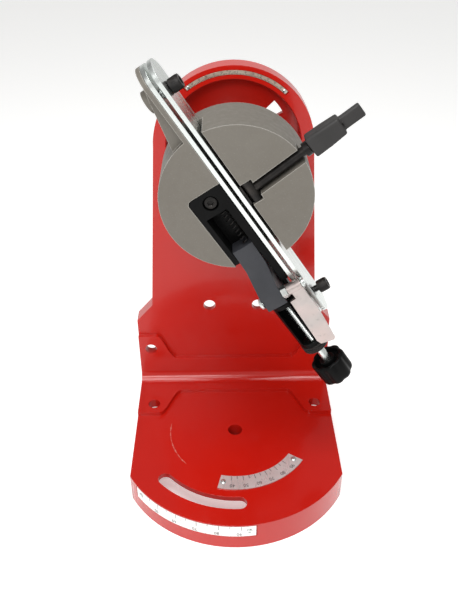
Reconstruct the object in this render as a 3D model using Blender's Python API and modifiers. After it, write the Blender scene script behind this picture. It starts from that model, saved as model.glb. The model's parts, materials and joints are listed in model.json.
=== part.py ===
"""Base and chain vise of a bench grinder, as separate solids with their real clearances.

Lengths are millimetres multiplied by MM, so the scene is in metres, with +Z up.  Two empties carry
the work.  `tilt_pivot` is the hole that the grinding head turns on, in the plane that the frame
stands on: +X right, +Y back.  `vise` is the centre of the vise drum's front face: +X along the
rails towards the chain stop, +Y into the drum, +Z across the rails towards the clamp lever.
"""
import math

import bmesh
import bpy
from mathutils import Vector

MM = 0.001
GAP = 0.3 * MM                       # left between pieces that touch on the real object

# Frame: an L-shaped casting, open underneath and behind
REST_RIB_Y = 40 * MM                 # from the tilt pivot back to the point that is the origin
WALL = 5 * MM
HALF_WIDTH = 91.3 * MM
SKIRT = 28 * MM                      # height of the base
BASE_RADIUS = 106 * MM
UPRIGHT_Y = 73.5 * MM
BACK_Y = UPRIGHT_Y + 15 * MM
AXIS_Z = 272.5 * MM                  # swivel axis above the ground
ARCH_RADIUS = 65 * MM
SHOULDER = ((91.3 * MM, 100 * MM), (76 * MM, 117.5 * MM))
PAD_RISE = 4 * MM
CORNER_FILLET = 9 * MM
BOLT_RADIUS = 5.5 * MM
TILT_HOLE_RADIUS = 6.5 * MM
BASE_BOLTS = (76.5 * MM, 31.5 * MM)  # X and Y from the tilt pivot
PAD_BOLTS = (80 * MM, 68.4 * MM)     # X and Z, on the raised pads of the upright
WALL_BOLTS = (22.5 * MM, 117.2 * MM)  # X and Z, in the middle of the upright
TILT_SLOT = (83.4 * MM, 6 * MM, -137, -88.5)      # radius, half-width, first and last degree
CUP_RADIUS = 54.4 * MM
CUP_FLOOR_Y = 90 * MM
CUP_FLOOR = 4.5 * MM
BRACE_Z = 150 * MM                   # height of the rib across the upright's back
SWIVEL_SLOT = (45 * MM, 6 * MM, -147, -33)    # for the vise's stop pin
CUP_WINDOW = (34 * MM, 46 * MM, 29.5, 44.5)   # radii, first and last degree
PLATE = 0.8 * MM                     # thickness of the scale plates

# Vise: lengths along the rails, across them and into the drum
FACE_Y = -21.2 * MM
RAIL_TILT = math.radians(56.47)
DRUM_RADIUS = 54.5 * MM
DRUM_DEPTH = 42.7 * MM
NECK_RADIUS = 28 * MM
RAIL_ENDS = (-107.5 * MM, 122.5 * MM)
RAIL_DEPTH = 26 * MM
RAIL_THICKNESS = 3 * MM
FIXED_RAIL_Z = -2.4 * MM
MOVING_RAIL_Z = 3.0 * MM
SCREW_X = (-86 * MM, 103.5 * MM)
SCREW_RADIUS = 2.5 * MM
STOP_PIN_ANGLE = math.degrees(RAIL_TILT) - 146       # about the vise axis

# Chain stop: slider, screw and knob share one axis along the rails
STOP_Y = 4 * MM
STOP_Z = -18.3 * MM
PIN_X = 80.5 * MM
PIN_Y = -6 * MM
PIN_RADIUS = 2.5 * MM
CHANNEL_Z = (-26.3 * MM, -8.9 * MM)
CHANNEL_FLOOR = 15.3 * MM
TUBE_RADIUS = 10.5 * MM
ROD_RADIUS = 3.4 * MM
KNOB_X = (162 * MM, 183 * MM)
KNOB_RADIUS = 14.5 * MM

# Clamp lever: a rod with an eccentric cross shaft
LEVER = (0.8 * MM, 5.5 * MM, 12.2 * MM)       # centre of the cross shaft, in the vise's axes
LEVER_SKEW = math.radians(-5)
CAM_THROW = 1.1 * MM
CAM_RADIUS = 4 * MM


def clear_scene():
    for old in list(bpy.data.objects):
        bpy.data.objects.remove(old, do_unlink=True)


def new_collection(name):
    collection = bpy.data.collections.new(name)
    bpy.context.scene.collection.children.link(collection)
    return collection


clear_scene()
PARTS = new_collection("bench_grinder")
CUTTERS = new_collection("cutters")


# Materials

def material(name, colour, roughness, metallic=0.0):
    mat = bpy.data.materials.new(name)
    mat.use_nodes = True
    shader = mat.node_tree.nodes["Principled BSDF"]
    shader.inputs["Base Color"].default_value = (*colour, 1.0)
    shader.inputs["Roughness"].default_value = roughness
    shader.inputs["Metallic"].default_value = metallic
    return mat


RED = ((0.48, 0.012, 0.006), 0.22, 0.0)
CAST_GREY = ((0.24, 0.21, 0.17), 0.55, 0.3)
ZINC = ((0.72, 0.73, 0.72), 0.28, 1.0)
STEEL_BLACK = ((0.03, 0.028, 0.026), 0.42, 0.6)
PLASTIC_BLACK = ((0.018, 0.018, 0.018), 0.38, 0.0)
PLASTIC_GREY = ((0.06, 0.063, 0.072), 0.45, 0.0)
PLASTIC_GRIP = ((0.048, 0.048, 0.048), 0.6, 0.0)
NICKEL = ((0.56, 0.5, 0.49), 0.36, 1.0)
LABEL = ((0.62, 0.62, 0.6), 0.35, 0.6)
BRONZE = ((0.42, 0.26, 0.1), 0.4, 1.0)


# Shapes

def finish_mesh(name, bm):
    bmesh.ops.recalc_face_normals(bm, faces=bm.faces)
    for face in bm.faces:
        face.smooth = False
    mesh = bpy.data.meshes.new(name)
    bm.to_mesh(mesh)
    bm.free()
    return mesh


def place(name, mesh, parent, location=(0, 0, 0), rotation=(0, 0, 0), look=None):
    """Link a mesh as a part when it has a look, and as a cutter when it has none."""
    obj = bpy.data.objects.new(name, mesh)
    obj.parent = parent
    obj.location = location
    obj.rotation_euler = rotation
    if look is None:
        CUTTERS.objects.link(obj)
        obj.hide_render = True
        obj.display_type = "WIRE"
    else:
        PARTS.objects.link(obj)
        obj.data.materials.append(material(name, *look))
    return obj


def empty(name, location, parent=None, rotation=(0, 0, 0)):
    obj = bpy.data.objects.new(name, None)
    obj.empty_display_size = 0.02
    obj.location = location
    obj.rotation_euler = rotation
    obj.parent = parent
    PARTS.objects.link(obj)
    return obj


def box(name, low, high, parent, look=None, rotation=(0, 0, 0)):
    size = Vector(high) - Vector(low)
    centre = (Vector(high) + Vector(low)) / 2
    bm = bmesh.new()
    bmesh.ops.create_cube(bm, size=1.0)
    bmesh.ops.scale(bm, vec=size, verts=bm.verts)
    return place(name, finish_mesh(name, bm), parent, centre, rotation, look)


def rod(name, radius, start, end, parent, look=None, segments=32):
    """A cylinder from one point to another."""
    start, end = Vector(start), Vector(end)
    bm = bmesh.new()
    bmesh.ops.create_cone(bm, cap_ends=True, segments=segments, radius1=radius, radius2=radius,
                          depth=(end - start).length)
    turn = (end - start).to_track_quat("Z", "Y").to_euler()
    return place(name, finish_mesh(name, bm), parent, (start + end) / 2, turn, look)


def turned(name, profile, start, end, parent, look=None, segments=24):
    """Turn (distance from start, radius) points about the line from start to end."""
    bm = bmesh.new()
    points = [bm.verts.new((radius, 0, along)) for along, radius in reversed(profile)]
    for first, second in zip(points, points[1:]):
        bm.edges.new((first, second))
    mesh = bpy.data.meshes.new(name)
    bm.to_mesh(mesh)
    bm.free()
    direction = Vector(end) - Vector(start)
    obj = place(name, mesh, parent, start, direction.to_track_quat("Z", "Y").to_euler(), look)
    screw = obj.modifiers.new("turn", "SCREW")
    screw.steps = segments
    screw.render_steps = segments
    screw.use_merge_vertices = True
    screw.merge_threshold = 0.00001
    return obj


def outline(name, points, low, high, parent, plane="XY", look=None):
    """Extrude a flat outline between two heights across its plane, as a closed mesh."""
    curve = bpy.data.curves.new(name, "CURVE")
    curve.dimensions = "2D"
    curve.fill_mode = "BOTH"
    curve.extrude = abs(high - low) / 2
    spline = curve.splines.new("POLY")
    spline.points.add(len(points) - 1)
    for point, (x, y) in zip(spline.points, points):
        point.co = (x, y, 0, 1)
    spline.use_cyclic_u = True
    flat = bpy.data.objects.new(name + "_curve", curve)
    bpy.context.scene.collection.objects.link(flat)
    depsgraph = bpy.context.evaluated_depsgraph_get()
    mesh = bpy.data.meshes.new_from_object(flat.evaluated_get(depsgraph))
    bpy.data.objects.remove(flat, do_unlink=True)
    bm = bmesh.new()
    bm.from_mesh(mesh)
    bmesh.ops.remove_doubles(bm, verts=bm.verts, dist=0.000001)
    middle = (low + high) / 2
    placing = {
        "XY": ((0, 0, middle), (0, 0, 0)),
        "XZ": ((0, middle, 0), (math.pi / 2, 0, 0)),
        "YZ": ((middle, 0, 0), (math.pi / 2, 0, math.pi / 2)),
    }
    location, rotation = placing[plane]
    mesh.name = name
    return place(name, finish_mesh(name, bm), parent, location, rotation, look)


def arc(centre, radius, first, last, steps):
    """Points on an arc, from the first angle to the last, in degrees."""
    turns = [math.radians(first + (last - first) * i / steps) for i in range(steps + 1)]
    return [(centre[0] + radius * math.cos(t), centre[1] + radius * math.sin(t)) for t in turns]


def band(centre, inner, outer, first, last, steps):
    """An arc-shaped strip between two radii."""
    return arc(centre, outer, first, last, steps) + arc(centre, inner, last, first, steps)


def curved_slot(centre, radius, half, first, last, steps):
    """A slot with round ends that follows an arc."""
    ends = [arc(centre, radius, angle, angle, 1)[0] for angle in (first, last)]
    return (arc(centre, radius + half, first, last, steps)
            + arc(ends[1], half, last, last + 180, 8)[1:-1]
            + arc(centre, radius - half, last, first, steps)
            + arc(ends[0], half, first + 180, first + 360, 8)[1:-1])


def stadium(low, high, middle, half):
    """A bar with half-round ends: lengths along its first axis."""
    return (arc((high - half, middle), half, -90, 90, 12)
            + arc((low + half, middle), half, 90, 270, 12))


def combine(target, other, operation="DIFFERENCE"):
    modifier = target.modifiers.new(other.name, "BOOLEAN")
    modifier.operation = operation
    modifier.object = other
    modifier.solver = "EXACT"


def cut(target, *cutters):
    for cutter in cutters:
        combine(target, cutter)


def join(target, *pieces):
    for piece in pieces:
        combine(target, piece, "UNION")


# Frame

def front_outline(inset):
    """The upright seen from the front, down to the ground."""
    (low_x, low_z), (high_x, high_z) = SHOULDER
    arch = ARCH_RADIUS - inset
    right = [(low_x - inset, -inset), (low_x - inset, low_z), (high_x - inset, high_z)]
    left = [(-x, z) for x, z in reversed(right)]
    return right + arc((0, AXIS_Z), arch, 0, 180, 36) + left


def plan_outline(inset, back):
    """The base seen from above: an arc in front, cut straight at both sides."""
    half = HALF_WIDTH - inset
    radius = BASE_RADIUS - inset
    corner = math.degrees(math.acos(half / radius))
    return arc((0, 0), radius, corner - 180, -corner, 36) + [(half, back), (-half, back)]


def corner_profile(rise, fillet, inner):
    """Side view of the base and upright as one L, raised from their faces by `rise`."""
    face = UPRIGHT_Y - rise
    top = SKIRT + rise
    bend = arc((face - fillet, top + fillet), fillet, -90, 0, 6)
    low, far = inner
    return [(-low, top)] + bend + [(face, far), (BACK_Y, far), (BACK_Y, 0), (-low, 0)]


def ease(start, end, t):
    return start + (end - start) * (1 - math.cos(math.pi * t)) / 2


def step_edge(first, second, steps=8):
    """Points of an S-shaped step from one (x, height) to another."""
    span = second[0] - first[0]
    return [(first[0] + span * i / steps, ease(first[1], second[1], i / steps))
            for i in range(steps + 1)]


def mirrored(edge):
    return [(-x, y) for x, y in reversed(edge)] + edge


def raised_corner(pivot):
    """The raised band with four bolt pads that stiffens the bend."""
    wide = HALF_WIDTH + 3 * MM
    reach, height = 30 * MM, 97.5 * MM
    pad = outline("raised_corner", corner_profile(PAD_RISE, CORNER_FILLET, (-10 * MM, height)),
                  -wide, wide, pivot, "YZ")
    base_edge = step_edge((51.7 * MM, 50.9 * MM), (70.6 * MM, 19.7 * MM)) + [(wide + MM, 19.7 * MM)]
    on_base = outline("raised_base_edge", mirrored(base_edge) + [(wide + MM, 120 * MM),
                      (-wide - MM, 120 * MM)], -reach, 150 * MM, pivot, "XY")
    upright_edge = step_edge((56 * MM, 56.4 * MM), (74 * MM, 83.5 * MM)) + [(wide + MM, 83.5 * MM)]
    on_upright = outline("raised_upright_edge", mirrored(upright_edge) + [(wide + MM, -reach),
                         (-wide - MM, -reach)], -reach, 150 * MM, pivot, "XZ")
    combine(pad, on_base, "INTERSECT")
    combine(pad, on_upright, "INTERSECT")
    return pad


def hollow(pivot):
    """What the casting is open to below and behind, one wall thickness inside its outline."""
    wide = HALF_WIDTH
    profile = [(-120 * MM, SKIRT - WALL), (UPRIGHT_Y + WALL, SKIRT - WALL),
               (UPRIGHT_Y + WALL, 360 * MM), (BACK_Y + 2 * MM, 360 * MM),
               (BACK_Y + 2 * MM, -2 * MM), (-120 * MM, -2 * MM)]
    space = outline("frame_hollow", profile, -wide, wide, pivot, "YZ")
    plan = outline("hollow_plan", plan_outline(WALL, BACK_Y + 10 * MM), -10 * MM, 400 * MM, pivot)
    front = outline("hollow_front", front_outline(WALL), -150 * MM, 150 * MM, pivot, "XZ")
    combine(space, plan, "INTERSECT")
    combine(space, front, "INTERSECT")
    return space


def frame_casting(pivot):
    wide = HALF_WIDTH + 5 * MM
    frame = outline("frame", corner_profile(0, CORNER_FILLET, (120 * MM, 360 * MM)),
                    -wide, wide, pivot, "YZ", RED)
    join(frame, raised_corner(pivot))
    plan = outline("frame_plan", plan_outline(0, BACK_Y + 10 * MM), -10 * MM, 400 * MM, pivot)
    front = outline("frame_front", front_outline(0), -150 * MM, 150 * MM, pivot, "XZ")
    combine(frame, plan, "INTERSECT")
    combine(frame, front, "INTERSECT")
    cut(frame, hollow(pivot))
    swivel = (0, AXIS_Z)
    floor_back = CUP_FLOOR_Y + CUP_FLOOR
    cup = rod("cup_wall", CUP_RADIUS + WALL + MM, (0, UPRIGHT_Y + MM, AXIS_Z),
              (0, floor_back, AXIS_Z), pivot, segments=72)
    join(frame, cup)
    cup_bore = rod("cup_bore", CUP_RADIUS, (0, 50 * MM, AXIS_Z), (0, CUP_FLOOR_Y, AXIS_Z), pivot,
                   segments=72)
    rib = WALL / 2
    rib_front, rib_back = UPRIGHT_Y + MM, BACK_Y - 3 * MM
    brace = 73 * MM
    spine = box("base_rib", (-rib, -44 * MM, 0), (rib, BACK_Y - 2 * MM, SKIRT - MM), pivot)
    tilt_boss = rod("tilt_boss", 14 * MM, (0, 0, 0), (0, 0, SKIRT - MM), pivot)
    upright_rib = box("upright_rib", (-rib, rib_front, MM), (rib, rib_back, BRACE_Z), pivot)
    cross_rib = box("cross_rib", (-brace, rib_front, BRACE_Z - rib), (brace, rib_back, BRACE_Z + rib),
                    pivot)
    join(frame, spine, tilt_boss, upright_rib, cross_rib)
    cut(frame, cup_bore)
    channel = outline("arch_scale_channel", band(swivel, 57.8 * MM, 61.5 * MM, 46, 129, 30),
                      UPRIGHT_Y - 5 * MM, UPRIGHT_Y + 1.2 * MM, pivot, "XZ")
    radius, half, first, last = SWIVEL_SLOT
    swivel_slot = outline("swivel_slot", curved_slot(swivel, radius, half, first, last, 24),
                          80 * MM, 110 * MM, pivot, "XZ")
    cup_window = outline("cup_window", band(swivel, *CUP_WINDOW, 3), 80 * MM, 110 * MM, pivot, "XZ")
    radius, half, first, last = TILT_SLOT
    tilt_slot = outline("tilt_slot", curved_slot((0, 0), radius, half, first, last, 16),
                        15 * MM, 40 * MM, pivot)
    label_seat = outline("label_seat", band((0, 0), BASE_RADIUS - MM, BASE_RADIUS + 5 * MM, -143.5,
                                            -81.5, 20), 14.2 * MM, 26.8 * MM, pivot)
    bush_seat = rod("bush_seat", 8.3 * MM, (0, 80 * MM, AXIS_Z), (0, 110 * MM, AXIS_Z), pivot)
    cut(frame, channel, swivel_slot, cup_window, tilt_slot, label_seat, bush_seat)
    cut(frame, bolt_holes(pivot))
    return frame


def bolt_holes(pivot):
    """All the round holes as one cutter: separate pins joined in one mesh."""
    holes = [((0, 0, -5 * MM), (0, 0, 40 * MM), TILT_HOLE_RADIUS, 28)]
    for side in (-1, 1):
        x, y = BASE_BOLTS
        holes.append(((side * x, y, 10 * MM), (side * x, y, 40 * MM), BOLT_RADIUS, 24))
        for x, z in (PAD_BOLTS, WALL_BOLTS):
            holes.append(((side * x, 50 * MM, z), (side * x, 90 * MM, z), BOLT_RADIUS, 24))
    for _, point, out, size in rivet_places():
        holes.append((point + out * 2 * MM, point - out * 4 * MM, 1.6 * MM * size, 10))
    bm = bmesh.new()
    for start, end, radius, segments in holes:
        start, end = Vector(start), Vector(end)
        made = bmesh.ops.create_cone(bm, cap_ends=True, segments=segments, radius1=radius,
                                     radius2=radius, depth=(end - start).length)
        turn = (end - start).to_track_quat("Z", "Y").to_matrix()
        bmesh.ops.rotate(bm, cent=(0, 0, 0), matrix=turn, verts=made["verts"])
        bmesh.ops.translate(bm, vec=(start + end) / 2, verts=made["verts"])
    return place("bolt_holes", finish_mesh("bolt_holes", bm), pivot)


# Scale plates and their rivets

BASE_SCALE = (56 * MM, 70 * MM, -103.5, -33.5)        # radii, first and last degree
LABEL_SCALE = (BASE_RADIUS - 0.7 * MM, BASE_RADIUS, -143, -82)
ARCH_SCALE = (58.1 * MM, 61.2 * MM, 47, 128)
RIVET_RADIUS = 1.3 * MM


def rivet_places():
    """Name, point on the plate's face, outward direction and relative size of every rivet."""
    places = []
    inner, outer, first, last = BASE_SCALE
    for name, angle in (("base_scale_rivet_left", first + 3), ("base_scale_rivet_right", last - 3)):
        x, y = arc((0, 0), (inner + outer) / 2, angle, angle, 1)[0]
        places.append((name, Vector((x, y, SKIRT + GAP + PLATE)), Vector((0, 0, 1)), 1.0))
    inner, outer, first, last = LABEL_SCALE
    for name, angle in (("label_rivet_left", first + 3), ("label_rivet_right", last - 3)):
        x, y = arc((0, 0), outer, angle, angle, 1)[0]
        places.append((name, Vector((x, y, 20.5 * MM)), Vector((x, y, 0)).normalized(), 1.0))
    inner, outer, first, last = ARCH_SCALE
    for name, angle in (("arch_scale_rivet_right", first + 2), ("arch_scale_rivet_left", last - 2)):
        x, z = arc((0, AXIS_Z), (inner + outer) / 2, angle, angle, 1)[0]
        face = UPRIGHT_Y + 1.2 * MM - GAP - PLATE
        places.append((name, Vector((x, face, z)), Vector((0, -1, 0)), 0.62))
    return places


def scale_plates(pivot):
    inner, outer, first, last = BASE_SCALE
    base = outline("base_scale_plate", band((0, 0), inner, outer, first, last, 20),
                   SKIRT + GAP, SKIRT + GAP + PLATE, pivot, "XY", LABEL)
    inner, outer, first, last = LABEL_SCALE
    label = outline("front_scale_plate", band((0, 0), inner, outer, first, last, 20),
                    14.5 * MM, 26.5 * MM, pivot, "XY", LABEL)
    inner, outer, first, last = ARCH_SCALE
    face = UPRIGHT_Y + 1.2 * MM - GAP
    arch = outline("arch_scale_strip", band((0, AXIS_Z), inner, outer, first, last, 26),
                   face - PLATE, face, pivot, "XZ", LABEL)
    holes = bpy.data.objects["bolt_holes"]
    cut(base, holes)
    cut(label, holes)
    cut(arch, holes)


def rivets(pivot):
    """Drive rivets: a low dome on a shank."""
    head = 2.4 * MM
    profile = [(-3.4 * MM, 0), (-3.4 * MM, RIVET_RADIUS), (GAP, RIVET_RADIUS), (GAP, head),
               (0.8 * MM, head * 0.85), (1.3 * MM, head * 0.45), (1.5 * MM, 0)]
    for name, point, out, size in rivet_places():
        turned(name, [(along, radius * size) for along, radius in profile], point, point + out, pivot,
               ZINC, 12)


# Vise casting

def from_vise(along, into, across):
    return (along * MM, into * MM, across * MM)


def housing_shape(margin, far):
    """Outline of the chain stop's housing seen from the front, grown by a margin."""
    low, left, corner = -30 * MM - margin, -17 * MM - margin, 4 * MM
    rounded = arc((left + corner, low + corner), corner, 180, 270, 6)
    top = -3 * MM + 3 * margin
    return rounded + [(far, low), (far, top), (left, top)]


def vise_casting(vise):
    """Drum, neck and the arm that backs the left end of the rails."""
    body = rod("vise_body", DRUM_RADIUS, (0, 0, 0), (0, DRUM_DEPTH, 0), vise, CAST_GREY, 72)
    neck_end = CUP_FLOOR_Y - FACE_Y - GAP
    neck = rod("neck", NECK_RADIUS, (0, DRUM_DEPTH - MM, 0), (0, neck_end, 0), vise, segments=40)
    pin_x, pin_z = arc((0, 0), SWIVEL_SLOT[0], STOP_PIN_ANGLE, STOP_PIN_ANGLE, 1)[0]
    ear = rod("stop_pin_ear", 8.5 * MM, (pin_x, neck_end - 14 * MM, pin_z),
              (pin_x, neck_end, pin_z), vise)
    web_size = Vector((17 * MM, 14 * MM, 12 * MM)) / 2
    middle = Vector((pin_x * 0.72, neck_end - 7 * MM, pin_z * 0.72))
    web = box("stop_pin_web", middle - web_size, middle + web_size, vise,
              rotation=(0, math.radians(-STOP_PIN_ANGLE), 0))
    join(body, neck, ear, web)

    end = RAIL_ENDS[0]
    flange_shape = [(-46 * MM, 0), (-46 * MM, RAIL_DEPTH)] + arc(
        (end + RAIL_DEPTH / 2, RAIL_DEPTH / 2), RAIL_DEPTH / 2, 90, 270, 14)
    flange = outline("arm_flange", flange_shape, -6 * MM, FIXED_RAIL_Z - GAP, vise, "XY")
    rib_shape = [(-44 * MM, -4 * MM), (-100 * MM, -4 * MM), (-100 * MM, -6.5 * MM),
                 (-52 * MM, -17 * MM), (-44 * MM, -17 * MM)]
    rib = outline("arm_rib", rib_shape, 5 * MM, 21 * MM, vise, "XZ")
    middle = RAIL_DEPTH / 2
    boss = rod("arm_boss", 8 * MM, (SCREW_X[0], middle, -12.5 * MM), (SCREW_X[0], middle, -4 * MM),
               vise, segments=28)
    join(body, flange, rib, boss)

    rail_slot = box("rail_slot", from_vise(-70, -5, -2.7), from_vise(70, 27.2, 8.2), vise)
    housing_seat = outline("housing_seat", housing_shape(GAP, 70 * MM), -5 * MM, 20.3 * MM, vise, "XZ")
    trench = box("lever_trench", from_vise(-5.25, -10, 2), from_vise(5.25, 6.2, 60),
                 bpy.data.objects["lever_line"])
    cam_pocket = box("cam_pocket", from_vise(-7.8, -5, 5), from_vise(9.4, 11.7, 16.7), vise)
    screw_hole = rod("boss_bore", SCREW_RADIUS + GAP, (SCREW_X[0], middle, -20 * MM),
                     (SCREW_X[0], middle, 5 * MM), vise, segments=20)
    stud_bore = rod("stud_bore", 5.3 * MM, (0, 79 * MM, 0), (0, 130 * MM, 0), vise, segments=24)
    pin_bore = rod("stop_pin_bore", 4.9 * MM, (pin_x, neck_end - 11 * MM, pin_z),
                   (pin_x, neck_end + 5 * MM, pin_z), vise, segments=20)
    housing_bore = rod("housing_screw_bore", SCREW_RADIUS + GAP, from_vise(-8, 15, -16.2),
                       from_vise(-8, 32, -16.2), vise, segments=16)
    cut(body, rail_slot, housing_seat, cam_pocket, trench)
    cut(body, screw_hole, stud_bore, pin_bore, housing_bore)
    return body


# Rails and their screws

def rail(name, low, holes, vise):
    shape = stadium(*RAIL_ENDS, RAIL_DEPTH / 2, RAIL_DEPTH / 2)
    bar = outline(name, shape, low, low + RAIL_THICKNESS, vise, "XY", ZINC)
    cut(bar, holes)


def rails(vise):
    middle = RAIL_DEPTH / 2
    bm = bmesh.new()
    for x in SCREW_X:
        made = bmesh.ops.create_cone(bm, cap_ends=True, segments=20, radius1=SCREW_RADIUS + 0.4 * MM,
                                     radius2=SCREW_RADIUS + 0.4 * MM, depth=60 * MM)
        bmesh.ops.translate(bm, vec=(x, middle, 0), verts=made["verts"])
    holes = place("rail_holes", finish_mesh("rail_holes", bm), vise)
    rail("fixed_rail", FIXED_RAIL_Z, holes, vise)
    rail("moving_rail", MOVING_RAIL_Z, holes, vise)
    clear = MOVING_RAIL_Z + RAIL_THICKNESS + GAP
    box("pressure_pad", (-7 * MM, MM, clear), (8.6 * MM, 10 * MM, clear + 1.6 * MM), vise, STEEL_BLACK)
    for side, x in zip(("left", "right"), SCREW_X):
        spacer = rod("rail_spring_" + side, 4.6 * MM, (x, middle, FIXED_RAIL_Z + RAIL_THICKNESS + GAP),
                     (x, middle, FIXED_RAIL_Z + RAIL_THICKNESS + 1.1 * MM), vise, ZINC, 24)
        cut(spacer, holes)
    cap_screw("cap_screw_left", SCREW_X[0], clear, -11.5 * MM, vise)
    cap_screw("cap_screw_right", SCREW_X[1], clear + 2.4 * MM, -8 * MM, vise)
    nut = rod("rail_nut", 4.6 * MM, (SCREW_X[1], middle, -6.9 * MM),
              (SCREW_X[1], middle, FIXED_RAIL_Z - GAP), vise, ZINC, 6)
    cut(nut, holes)


def cap_screw(name, x, seat, tip, vise):
    """A socket cap screw across the rails, with its head at `seat`."""
    head, radius = 8 * MM, 5.1 * MM
    middle = RAIL_DEPTH / 2
    profile = [(tip, 0), (tip, SCREW_RADIUS), (seat, SCREW_RADIUS), (seat, radius),
               (seat + head - 0.5 * MM, radius), (seat + head, radius - 0.6 * MM), (seat + head, 0)]
    screw = turned(name, profile, (x, middle, 0), (x, middle, MM), vise, STEEL_BLACK, 24)
    socket = rod(name + "_socket", 2.9 * MM, (x, middle, seat + 3.5 * MM),
                 (x, middle, seat + head + 2 * MM), vise, segments=6)
    cut(screw, socket)


# Clamp lever

def clamp_lever(line):
    """Cross shaft and rod in one piece; the shaft sits off the line that the lever turns on."""
    lever = rod("clamp_lever", 3.5 * MM, (0, 0, 0), (0, 0, 76 * MM), line, STEEL_BLACK, 24)
    shaft = rod("cam_shaft", CAM_RADIUS, (-8.3 * MM, -CAM_THROW, 0), (8.3 * MM, -CAM_THROW, 0),
                bpy.data.objects["clamp_lever_pivot"], segments=28)
    collar = rod("lever_collar", 5.2 * MM, (0, 0, 45.2 * MM), (0, 0, 49.2 * MM), line, segments=24)
    join(lever, shaft, collar)
    near, far = 49.8 * MM, 74.8 * MM
    grip = outline("lever_grip", [(-8 * MM, near), (8 * MM, near), (6.7 * MM, far), (-6.7 * MM, far)],
                   -6 * MM, 6 * MM, line, "XZ", PLASTIC_GRIP)
    bevel = grip.modifiers.new("round", "BEVEL")
    bevel.width = 1.6 * MM
    bevel.segments = 2
    tab = box("grip_tab", from_vise(-4.7, -2.6, 72.8), from_vise(4.7, 2.6, 90.6), line)
    bore = rod("grip_bore", 3.5 * MM + GAP, (0, 0, 45 * MM), (0, 0, 76.4 * MM), line, segments=24)
    join(grip, tab)
    cut(grip, bore)


# Chain stop

def stop_housing(vise):
    """Body in the drum, with a strip beside the rails and a tongue under the slider."""
    low, high = CHANNEL_Z
    housing = outline("stop_housing", housing_shape(0, 44.2 * MM), 0, 15 * MM, vise, "XZ",
                      PLASTIC_BLACK)
    strip = box("housing_strip", from_vise(40, 0.2, -8.4), from_vise(75, 15, -3.1), vise)
    tongue = box("housing_tongue", (-17 * MM, 14.9 * MM, low), (91 * MM, 19.8 * MM, high), vise)
    channel = box("slider_channel", (1.5 * MM, -5 * MM, low), (60 * MM, CHANNEL_FLOOR, high), vise)
    counterbore = rod("housing_counterbore", 5.75 * MM, from_vise(-8, -5, -16.2),
                      from_vise(-8, 5, -16.2), vise)
    bore = rod("housing_bore", SCREW_RADIUS + GAP, from_vise(-8, 0, -16.2),
               from_vise(-8, 30, -16.2), vise, segments=16)
    join(housing, tongue, strip)
    cut(housing, channel, counterbore, bore)
    profile = [(-25 * MM, 0), (-25 * MM, SCREW_RADIUS), (-4 * MM, SCREW_RADIUS), (-4 * MM, 4.7 * MM),
               (-1.6 * MM, 4.7 * MM), (-0.8 * MM, 4 * MM), (-0.8 * MM, 0)]
    screw = turned("housing_screw", profile, from_vise(-8, 0, -16.2), from_vise(-8, -1, -16.2), vise,
                   STEEL_BLACK, 24)
    socket = rod("housing_screw_socket", 2.3 * MM, from_vise(-8, -2, -16.2), from_vise(-8, 2.8, -16.2),
                 vise, segments=6)
    cut(screw, socket)


def slider(stop):
    """Loft: low and flat in the housing, rising to the block that holds the cross pin."""
    back = CHANNEL_FLOOR - 0.7 * MM
    sections = [(34.5, 1.0, 0.0, -26.0, -9.2), (53, -1.2, -2.4, -26.0, -9.4),
                (61, -4.0, -5.2, -27.0, -10.4), (75, -8.6, -9.6, -28.6, -12.3),
                (88, -9.2, -9.8, -28.6, -12.3)]
    bm = bmesh.new()
    rings = []
    for along, edge, ridge, left, right in sections:
        x = along * MM - PIN_X
        corners = [(back, right), (back, left), (edge * MM, left), (ridge * MM, -18),
                   (edge * MM, right)]
        rings.append([bm.verts.new((x, into - PIN_Y, across * MM)) for into, across in corners])
    for first, second in zip(rings, rings[1:]):
        for i in range(len(first)):
            j = (i + 1) % len(first)
            bm.faces.new((first[i], first[j], second[j], second[i]))
    bm.faces.new(rings[0])
    bm.faces.new(rings[-1])
    body = place("stop_slider", finish_mesh("stop_slider", bm), stop, look=PLASTIC_GREY)
    dy, z = STOP_Y - PIN_Y, STOP_Z
    bore = rod("slider_bore", 4 * MM, (60 * MM - PIN_X, dy, z), (95 * MM - PIN_X, dy, z), stop,
               segments=20)
    pin_bore = rod("cross_pin_bore", PIN_RADIUS + GAP, (0, 0, -50 * MM), (0, 0, 20 * MM), stop,
                   segments=20)
    cut(body, bore, pin_bore)


def cross_pin(stop):
    """Pin that carries the pawl: a round head on one side, a nut and a push-on ring on the other."""
    profile = [(-32 * MM, 0), (-31.8 * MM, 2.6 * MM), (-31.1 * MM, 4.2 * MM),
               (-30.4 * MM, 4.6 * MM), (-28.9 * MM, 4.6 * MM), (-28.9 * MM, PIN_RADIUS),
               (6.4 * MM, PIN_RADIUS), (7 * MM, 2 * MM), (7 * MM, 0)]
    turned("cross_pin", profile, (0, 0, 0), (0, 0, MM), stop, ZINC, 24)
    bore = bpy.data.objects["cross_pin_bore"]
    nut = rod("cross_pin_nut", 4.9 * MM, (0, 0, -12 * MM), (0, 0, -7.7 * MM), stop, ZINC, 6)
    cut(nut, bore)
    ring = rod("pawl_ring", 3.9 * MM, (0, 0, 4.7 * MM), (0, 0, 5.7 * MM), stop, ZINC, 20)
    cut(ring, bore)


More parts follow.
